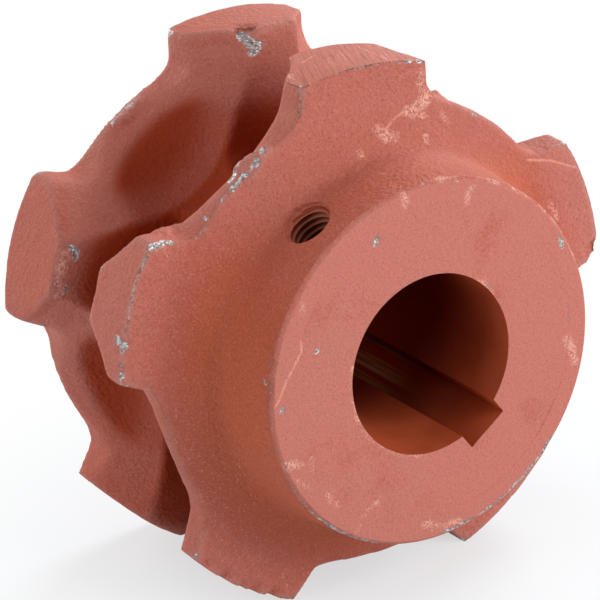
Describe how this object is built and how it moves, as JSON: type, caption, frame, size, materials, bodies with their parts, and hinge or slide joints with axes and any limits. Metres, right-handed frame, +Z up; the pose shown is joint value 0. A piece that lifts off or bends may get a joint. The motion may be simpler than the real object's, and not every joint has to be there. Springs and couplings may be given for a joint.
{
  "type": "chain pocket wheel",
  "caption": "Cast pocket wheel for round-link chain: two toothed cheeks with link pockets between them, a drafted hub on one side, keyed bore and a tapped set-screw hole.",
  "frame": {"origin": "on the wheel's axis, midway between the outer faces of the two cheeks", "axes": "+Y runs along the axis from the hub to the far cheek, +Z up through the middle of the top pair of teeth, +X to the right as seen from the hub"},
  "size_m": [0.1178, 0.0724, 0.1138],
  "materials": {
    "primed_casting": "matt red-oxide primer on a grey iron casting"
  },
  "bodies": {
    "root": {"pocket_wheel": "primed_casting"}
  },
  "joints": []
}
